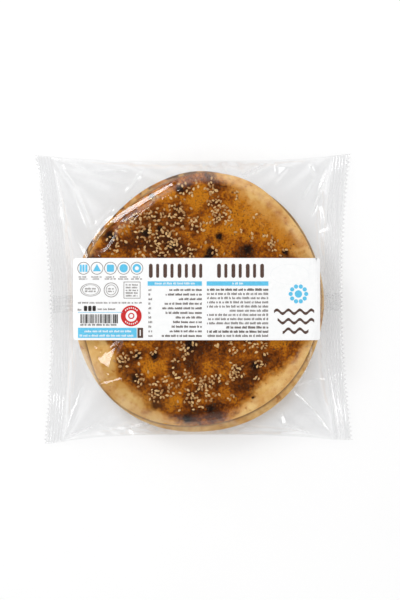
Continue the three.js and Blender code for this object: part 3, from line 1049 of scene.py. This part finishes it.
def oiledCrust(tree):
    # golden through orange and brown to dark, with fine specks
    look = crustLook
    warm = maths(tree, "ADD", maths(tree, "MULTIPLY", mottle(tree, 95, 0.36, 0.72), 0.7),
                 maths(tree, "MULTIPLY", attribute(tree, "browner"), look["browned"]))
    warm = maths(tree, "SUBTRACT", warm,
                 maths(tree, "MULTIPLY", attribute(tree, "golden"), look["lightened"]))
    clouds, grain = (
        maths(tree, "MULTIPLY", maths(tree, "SUBTRACT", mottle(tree, *cloud), middle), strength)
        for cloud, middle, strength in look["baking"])
    warm = maths(tree, "ADD", maths(tree, "ADD", warm, clouds), grain, True)
    colour = blendColours(tree, maths(tree, "MULTIPLY", warm, 2.2, True), look["golden"], look["orange"])
    for low, gain, tone in look["browning"]:
        colour = blendColours(tree, over(tree, warm, low, gain), colour, look[tone])
    return covered(tree, colour, mottle(tree, 900, 0.56, 0.64, 2.0), 0.6, look["speck"])


def charredCrust(tree, colour):
    unevenly = maths(tree, "ADD", maths(tree, "MULTIPLY", mottle(tree, 500, 0.3, 0.6), 0.4), 0.7)
    char = maths(tree, "MULTIPLY", attribute(tree, "char"), unevenly)
    for low, gain, tone in crustLook["charring"]:
        colour = blendColours(tree, over(tree, char, low, gain), colour, crustLook[tone])
    return colour


def makeCrust():
    material, tree = newMaterial("crust")
    look = crustLook
    # the patch lies over the pale crust with a ragged edge
    patch = attribute(tree, "patch")
    ragged = maths(tree, "MULTIPLY", maths(tree, "SUBTRACT", mottle(tree, 260, 0.3, 0.7), 0.5), 0.5)
    share = over(tree, maths(tree, "ADD", patch, ragged), 0.18, 1.6)
    colour = charredCrust(tree, blendColours(tree, share, paleCrust(tree, patch), oiledCrust(tree)))
    # the toasted underside, and painted shade where shade falls on the crust
    for place, strength in (("toast", look["toasted"]), ("crevice", look["paintedShadeStrength"])):
        colour = covered(tree, colour, attribute(tree, place), strength, look[place])
    colour = covered(tree, colour, mottle(tree, 330, 0.67, 0.73, 1.0), 0.55, look["orange"])
    # light that it throws on is paler, which keeps the film and floor beside it neutral
    ray = addNode(tree, "ShaderNodeLightPath")
    colour = covered(tree, colour, ray.outputs["Is Diffuse Ray"], look["bounce"], look["bounceColour"])
    lessRough = maths(tree, "MULTIPLY", share, look["roughness"] - look["oilRoughness"])
    fine = addNode(tree, "ShaderNodeBump", {"Strength": 0.35, "Distance": 0.0004,
                                            "Height": mottle(tree, 700, 0.2, 0.8, 4.0)})
    return finished(material, {
        "Base Color": colour, "Roughness": maths(tree, "SUBTRACT", look["roughness"], lessRough),
        "Normal": fine.outputs["Normal"], "Specular IOR Level": look["shine"]})


# light and dark tone, roughness and scale of the mottling of the loose bits
bitLooks = {
    "sesameSeed": (shade(238, 198, 136), shade(172, 120, 62), 0.45, 600),
    "herbFlake": (shade(88, 66, 26), shade(36, 24, 12), 0.7, 800),
}


def makeBits(name):
    # small loose bits whose tone differs from one to the next
    light, dark, roughness, scale = bitLooks[name]
    material, tree = newMaterial(name)
    colour = blendColours(tree, attribute(tree, "tone"), light, dark)
    colour = covered(tree, colour, mottle(tree, scale, 0.4, 0.7), 0.4, dark)
    return finished(material, {"Base Color": colour, "Roughness": roughness})


filmLook = {
    "ior": 1.45, "gain": 1.7, "most": 0.15, "roughness": 0.11, "haze": 0.001, "creaseAndSheenHaze": 0.22,
    "tint": (0.966, 0.967, 0.969, 1.0), "shadowTint": (0.908, 0.890, 0.873, 1.0),
}


def makeFilmMaterial():
    # clear but for a mirror gloss and a little haze, and open to shadow and bounced light
    material, tree = newMaterial("film")
    look = filmLook
    fresnel = addNode(tree, "ShaderNodeFresnel", {"IOR": look["ior"]})
    mirror = maths(tree, "MULTIPLY", fresnel.outputs["Fac"], look["gain"])
    mirror = maths(tree, "MINIMUM", mirror, look["most"])
    # white from creases, seals and streaks: partly whitened film, partly painted highlight and sheen
    haze = maths(tree, "MULTIPLY", attribute(tree, "creaseAndSheen"), look["creaseAndSheenHaze"])
    solid = maths(tree, "ADD", mirror, maths(tree, "ADD", haze, look["haze"]), True)
    ray = addNode(tree, "ShaderNodeLightPath")
    passing = maths(tree, "MAXIMUM", ray.outputs["Is Shadow Ray"], ray.outputs["Is Diffuse Ray"])
    seen = maths(tree, "MULTIPLY", solid, maths(tree, "SUBTRACT", 1.0, passing))
    # near the bread's foot the film is tinted darker and warmer: painted shadow
    tint = blendColours(tree, attribute(tree, "paintedShadow"), look["tint"], look["shadowTint"])
    clear = addNode(tree, "ShaderNodeBsdfTransparent", {"Color": tint})
    gloss = addNode(tree, "ShaderNodeBsdfPrincipled", {
        "Base Color": (1, 1, 1, 1), "Metallic": maths(tree, "DIVIDE", mirror, solid),
        "Roughness": look["roughness"]})
    both = addNode(tree, "ShaderNodeMixShader", {0: seen, 1: clear.outputs["BSDF"], 2: gloss.outputs["BSDF"]})
    addNode(tree, "ShaderNodeOutputMaterial", {"Surface": both.outputs["Shader"]})
    return material


def makePaper():
    material, tree = newMaterial("labelPaper")
    colour = blendColours(tree, mottle(tree, 300, 0.3, 0.7), shade(255, 255, 255), shade(250, 251, 251))
    fine = addNode(tree, "ShaderNodeBump", {"Strength": 0.08, "Distance": 0.0001,
                                            "Height": mottle(tree, 1500, 0.2, 0.8)})
    return finished(material, {"Base Color": colour, "Roughness": 0.45, "Normal": fine.outputs["Normal"]})


def makeInk(name, colour):
    material, tree = newMaterial(name)
    paler = (*(min(1.0, part * 1.15 + 0.01) for part in colour[:3]), 1.0)
    inked = blendColours(tree, mottle(tree, 900, 0.35, 0.7), colour, paler)
    return finished(material, {"Base Color": inked, "Roughness": 0.4})


# The print on the label: fields of colour, plain shapes and strokes in place of words
inks = {
    "brown": shade(88, 64, 54), "blue": shade(92, 194, 232), "red": shade(206, 26, 28),
    "grey": shade(104, 94, 90), "black": shade(44, 38, 36), "white": shade(252, 252, 252),
    "faint": shade(236, 238, 240),
}
# how far ink stands proud of the paper and reaches into it, how far round each place it looks for bends, the
# width of a patch's cells, and the finer step down a rounded shape
printing = {
    "lift": 0.07, "whiteLift": 0.12, "sunk": -0.05, "around": 0.6, "cell": 1.2, "fineCell": 0.7, "seed": 58,
}

labelTree = BVHTree.FromObject(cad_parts["label"], bpy.context.evaluated_depsgraph_get())


def labelTop(x, y):
    # height of the label's own surface over x, y, and close round it, so that no print sinks in at a bend
    heights = []
    around = printing["around"]
    for dx, dy in ((0, 0), (around, 0), (-around, 0), (0, around), (0, -around)):
        above = Vector(((x + dx + shift[0]) * mm, (y + dy + shift[1]) * mm, 1.0))
        heights.append(labelTree.ray_cast(above, Vector((0, 0, -1)))[0].z / mm)
    return max(heights)


class Print:
    # gathers raised patches for one ink: places are millimetres from the label's left and top edges
    def __init__(self, lift):
        self.points, self.faces, self.lift = [], [], lift

    def patch(self, u, v):
        # a thin closed patch over a grid of places
        rows, columns = u.shape
        x = labelSize["x"] - labelSize["width"] / 2 + u.ravel()
        y = labelSize["y"] + labelSize["depth"] / 2 - v.ravel()
        z = np.array([labelTop(a, b) for a, b in zip(x, y)])
        first, n = len(self.points), u.size
        for height in (self.lift, printing["sunk"]):
            self.points += np.stack([x, y, z + height], -1).tolist()
        top = gridFaces(rows, columns, first)
        edge = [*range(columns - 1), *range(columns - 1, n - 1, columns), *range(n - 1, n - columns, -1),
                *range(n - columns, 0, -columns)]
        self.faces += [face[::-1] for face in top]
        self.faces += [[i + n for i in face] for face in top]
        for a, b in zip(edge, edge[1:] + edge[:1]):
            self.faces.append([first + a, first + b, first + n + b, first + n + a])

    def shape(self, v0, v1, edges):
        # a patch between two edges given as a function of how far down it is, from 0 to 1
        down = (1 - np.cos(np.linspace(0, math.pi, 3 + int((v1 - v0) / printing["fineCell"])))) / 2
        ends = np.array([edges(d) for d in down])
        columns = 2 + int((ends[:, 1] - ends[:, 0]).max() / printing["cell"])
        share = np.linspace(0, 1, columns)[None, :]
        v = np.broadcast_to(mixed(v0, v1, down)[:, None], (len(down), columns))
        self.patch(mixed(ends[:, :1], ends[:, 1:], share), v)

    def bar(self, u0, v0, u1, v1):
        across, down = (np.linspace(first, last, 2 + int((last - first) / printing["cell"]))
                        for first, last in ((u0, u1), (v0, v1)))
        self.patch(*np.meshgrid(across, down))

    def block(self, u0, v0, u1, v1, corner):
        def edges(d):
            fromEnd = min(d, 1 - d) * (v1 - v0)
            inset = corner - math.sqrt(max(0, corner ** 2 - max(0, corner - fromEnd) ** 2))
            return u0 + inset, u1 - inset
        self.shape(v0, v1, edges)

    def disc(self, u, v, radius):
        def edges(d):
            half = radius * math.sqrt(max(1e-4, 1 - (2 * d - 1) ** 2))
            return u - half, u + half
        self.shape(v - radius, v + radius, edges)

    def ring(self, u, v, radius, wide, squash=1.0, sides=40):
        turn = np.linspace(0, 2 * math.pi, sides + 1)[:, None]
        out = np.array([[radius - wide / 2, radius + wide / 2]])
        self.patch(u + out * np.cos(turn), v + out * squash * np.sin(turn))

    def wave(self, u0, u1, v, tall, wide, length):
        along = np.linspace(u0, u1, 60)[:, None]
        self.patch(along + np.zeros((1, 2)),
                   v + tall * np.sin(along * 2 * math.pi / length) + np.array([[-wide / 2, wide / 2]]))

    def strokes(self, rng, u0, u1, v, height=1.05, fromRight=False, heavy=0.62):
        # a line of strokes in place of words
        place, width = 0.0, u1 - u0
        while place < width - 0.8:
            for _ in range(rng.randint(2, 7)):
                step = rng.uniform(0.55, 0.85)
                if place + step > width:
                    break
                a = u1 - place - step if fromRight else u0 + place
                tall = height * rng.choice((1.0, 1.0, 0.86, 1.2))
                self.bar(a, v - tall, a + step * heavy, v)
                place += step
            place += 0.7


def printMarks(ink, rng):
    # five round marks with plain shapes inside and strokes under them
    for i, u in enumerate((7.3, 16.7, 26.1, 35.3, 44.5)):
        ink["grey"].ring(u, 7.1, 4.2, 0.36)
        if i == 0:
            for k in (-2.0, 0, 2.0):
                ink["blue"].bar(u + k - 0.7, 4.6, u + k + 0.7, 9.6)
        elif i == 1:
            ink["blue"].shape(4.2, 9.2, lambda d: (u - 0.05 - 2.8 * d, u + 0.05 + 2.8 * d))
        elif i == 2:
            ink["blue"].block(u - 2.5, 4.6, u + 2.5, 9.6, 0.8)
        elif i == 3:
            ink["blue"].disc(u, 7.1, 2.9)
        else:
            ink["blue"].ring(u, 7.1, 2.2, 1.6)
        for line in range(2):
            reach = rng.uniform(2.4, 4.1)
            ink["grey"].strokes(rng, u - reach, u + reach, 13.6 + 1.4 * line, 0.8)
    # three plain stamps, and a line of strokes below them
    for radius, wide in ((6.8, 0.4), (5.6, 0.3)):
        ink["grey"].ring(12.2, 22.2, radius, wide, 0.64)
    for radius, wide in ((4.9, 0.4), (3.5, 0.3)):
        ink["grey"].ring(26.6, 22.2, radius, wide)
    for v in (21.4, 23.2):
        ink["grey"].strokes(rng, 8.4, 16.0, v + 0.5, 1.0)
        ink["grey"].strokes(rng, 24.4, 28.8, v + 0.5, 0.9)
    for v in (16.5, 27.8):
        ink["grey"].bar(35.3, v, 46.9, v + 0.35)
    for u in (35.3, 46.6):
        ink["grey"].bar(u, 16.5, u + 0.35, 28.1)
    for line in range(5):
        ink["grey"].strokes(rng, 36.8, 45.6, 19.2 + 1.9 * line, 0.95)
    ink["grey"].strokes(rng, 3.4, 48.4, 31.7, 0.95)


def printBottomLeft(ink, rng):
    # three dark blocks, a row of bars, a red ring and a blue panel
    for u in (7.6, 10.6, 13.6):
        ink["black"].block(u, 33.3, u + 2.3, 36.9, 0.5)
    ink["grey"].strokes(rng, 3.2, 6.8, 36.6, 1.1)
    ink["grey"].strokes(rng, 17.2, 31.0, 36.2, 1.1)
    ink["blue"].bar(3.4, 37.7, 34.6, 38.0)
    u = 5.2
    while u < 31.0:
        wide = rng.choice((0.3, 0.35, 0.6, 0.9))
        ink["black"].bar(u, 39.2, u + wide, 45.4)
        u += wide + rng.choice((0.28, 0.3, 0.5, 0.7))
    ink["black"].strokes(rng, 5.2, 31.0, 47.1, 1.1)
    ink["red"].ring(40.6, 40.3, 5.6, 3.3)
    ink["red"].ring(40.6, 40.3, 1.8, 0.8, sides=24)
    for side in (-1, 1):
        for k in range(-3, 4):
            a = side * math.pi / 2 + 0.26 * k
            u, v = 40.6 + 5.6 * math.cos(a), 40.3 + 5.6 * math.sin(a)
            ink["white"].bar(u - 0.3, v - 0.55, u + 0.3, v + 0.55)
    ink["blue"].bar(3.4, 48.6, 44.4, 55.6)
    ink["brown"].bar(44.9, 48.6, 48.8, 55.6)
    ink["white"].bar(46.5, 50.0, 47.2, 54.2)
    ink["white"].strokes(rng, 8.0, 42.0, 51.7, 1.2)
    ink["white"].strokes(rng, 4.6, 43.4, 54.7, 1.2)


def printTables(ink, rng):
    for start, count in ((52.9, 8), (100.4, 7)):
        for k in range(count):
            wide = (2.6, 2.1)[k % 2]
            ink["brown"].block(start + 5.0 * k, 4.0, start + 5.0 * k + wide, 13.8, wide / 2)
    for u0, u1, words in ((52.0, 89.8, (57, 85)), (93.1, 136.1, (111, 119))):
        ink["blue"].bar(u0, 16.2, u1, 19.3)
        ink["white"].strokes(rng, words[0], words[1], 18.4, 1.2)
    for line in range(11):
        v = 22.9 + 3.2 * line
        ink["grey"].strokes(rng, 52.6, 52.6 + rng.uniform(1.8, 3.6), v, 1.25)
        ink["grey"].strokes(rng, 89.8 - rng.uniform(15, 30), 89.8, v, 1.3, True, 0.78)
    for line in range(12):
        short = rng.uniform(8, 20) if line in (5, 9) else 0.0
        heavy = 0.84 if line in (0, 9, 10) else 0.66
        ink["grey"].strokes(rng, 93.1 + short, 136.1, 22.8 + 2.92 * line, 1.4, True, heavy)


def printOrnament(ink):
    # a wheel of blue dots over three brown waves
    for k in range(10):
        a = 2 * math.pi * k / 10
        ink["blue"].disc(157.0 + 5.4 * math.cos(a), 25.0 + 5.4 * math.sin(a), 1.5)
    ink["blue"].disc(157.0, 25.0, 2.6)
    for row, (start, end) in enumerate(((140.0, 168.0), (142.5, 168.0), (146.0, 164.0))):
        ink["brown"].wave(start, end, 37.4 + 6.6 * row, 1.3, 2.0, 8.0)
    ink["faint"].ring(151, 11.4, 13.4, 0.25, 0.52, 48)


def makePrint(materials):
    rng = random.Random(printing["seed"])
    ink = {name: Print(printing["whiteLift" if name == "white" else "lift"]) for name in inks}
    printMarks(ink, rng)
    printBottomLeft(ink, rng)
    printTables(ink, rng)
    printOrnament(ink)
    for name, shapes in ink.items():
        makePiece("print_" + name, shapes.points, shapes.faces, materials[name], smooth=False)
    say("label printed")


# Floor and light
lights = {
    "world": {"even": 0.832, "zenith": 0.0, "horizon": 1.2, "low": 0.45, "high": 0.93, "lean": 0.6},
    "key": {"at": (-0.86, 0.80, 0.80), "size": 0.45, "power": 4.6},
    "fill": {"at": (0.95, -0.55, 0.70), "size": 0.9, "power": 1.0},
    # small panels round the camera: direction in degrees from +X, height in degrees, and power in watts
    "panels": {"upperLeft": (123, 62, 0.36), "lowerLeft": (213, 62, 0.26), "right": (2, 46, 0.19)},
    "overhead": (123, 80),
    "floorGlow": 0.045, "floorHalf": 3.0, "panelDistance": 1.25, "panelSize": 0.09,
}


def panelPlace(name):
    turn, tip = np.radians(lights["overhead"] if name == "overhead" else lights["panels"][name][:2])
    return lights["panelDistance"] * np.array([math.cos(turn) * math.cos(tip), math.sin(turn) * math.cos(tip),
                                               math.sin(tip)])


def makeFloor():
    material, tree = newMaterial("floor")
    colour = blendColours(tree, mottle(tree, 8, 0.2, 0.8), shade(250, 250, 250), shade(248, 248, 248))
    finished(material, {
        "Base Color": colour, "Roughness": 0.9, "Specular IOR Level": 0.0,
        "Emission Color": (1, 1, 1, 1), "Emission Strength": lights["floorGlow"]})
    mesh = bpy.data.meshes.new("floor")
    half = lights["floorHalf"]
    corners = [(x * half, y * half, 0) for x, y in ((-1, -1), (1, -1), (1, 1), (-1, 1))]
    mesh.from_pydata(corners, [], [range(4)])
    mesh.materials.append(material)
    floor = newObject("floor", mesh)


def makeLights():
    world = bpy.data.worlds.new("studio")
    world.use_nodes = True
    tree = world.node_tree
    tree.nodes.clear()
    look = lights["world"]
    place, ray = addNode(tree, "ShaderNodeTexCoord"), addNode(tree, "ShaderNodeLightPath")
    split = addNode(tree, "ShaderNodeSeparateXYZ", {"Vector": place.outputs["Generated"]})
    ramp = addNode(tree, "ShaderNodeMapRange", {
        "Value": split.outputs["Z"], "From Min": look["low"], "From Max": look["high"],
        "To Min": look["horizon"], "To Max": look["zenith"]})
    # the film mirrors a room that is dark overhead and brightest at the upper left
    leftward = maths(tree, "SUBTRACT", split.outputs["Y"], split.outputs["X"])
    leaning = maths(tree, "ADD", maths(tree, "MULTIPLY", leftward, look["lean"] * math.sqrt(0.5)), 1.0)
    mirrored = maths(tree, "MULTIPLY", ramp.outputs["Result"], leaning)
    choice = addNode(tree, "ShaderNodeMix", {0: ray.outputs["Is Glossy Ray"], 2: look["even"], 3: mirrored})
    back = addNode(tree, "ShaderNodeBackground", {"Color": (1, 1, 1, 1), "Strength": choice.outputs[0]})
    addNode(tree, "ShaderNodeOutputWorld", {"Surface": back.outputs["Background"]})
    bpy.context.scene.world = world
    lamps = {name: tuple(lights[name].values()) for name in ("key", "fill")}
    for name, (_, _, power) in lights["panels"].items():
        lamps[name] = panelPlace(name), lights["panelSize"], power
    for name, (place, size, power) in lamps.items():
        data = bpy.data.lights.new(name, "AREA")
        data.shape, data.size, data.energy = "SQUARE", size, power
        lamp = newObject(name, data)
        lamp.location = place
        lamp.rotation_euler = (-Vector(place)).to_track_quat("-Z", "Y").to_euler()


# Everything in order
makeCamera()
materials = {name: makeInk("ink_" + name, colour) for name, colour in inks.items()}
materials.update(crust=makeCrust(), seed=makeBits("sesameSeed"), herb=makeBits("herbFlake"),
                 film=makeFilmMaterial())
say("materials ready")

makeBread("lower", lambda x, y: plainRelief(x, y, "lowerTop"), lowerValues, materials["crust"])
makeBread("upper", upperTopRelief, upperValues, materials["crust"])
say("breads baked")

makeToppings(HeightMap(upperTopAt), materials)

# the film bridges the finer lumps of the crust, so it is laid over a smoothed relief
reliefMap = HeightMap(lambda x, y: crown(polar(x, y)[0]) + 0.6 * upperRelief(x, y), step=1.5)
tube, filmPoints = settledFilm(reliefMap)
makeFilm(tube, filmPoints, materials["film"])
say("film settled")

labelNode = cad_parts["label"]
labelNode.data.materials.clear()
labelNode.data.materials.append(makePaper())
makePrint(materials)

makeFloor()
makeLights()
scene = bpy.context.scene
scene.view_settings.view_transform = "Standard"
scene.cycles.transparent_max_bounces = 24

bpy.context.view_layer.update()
say("sizes written")
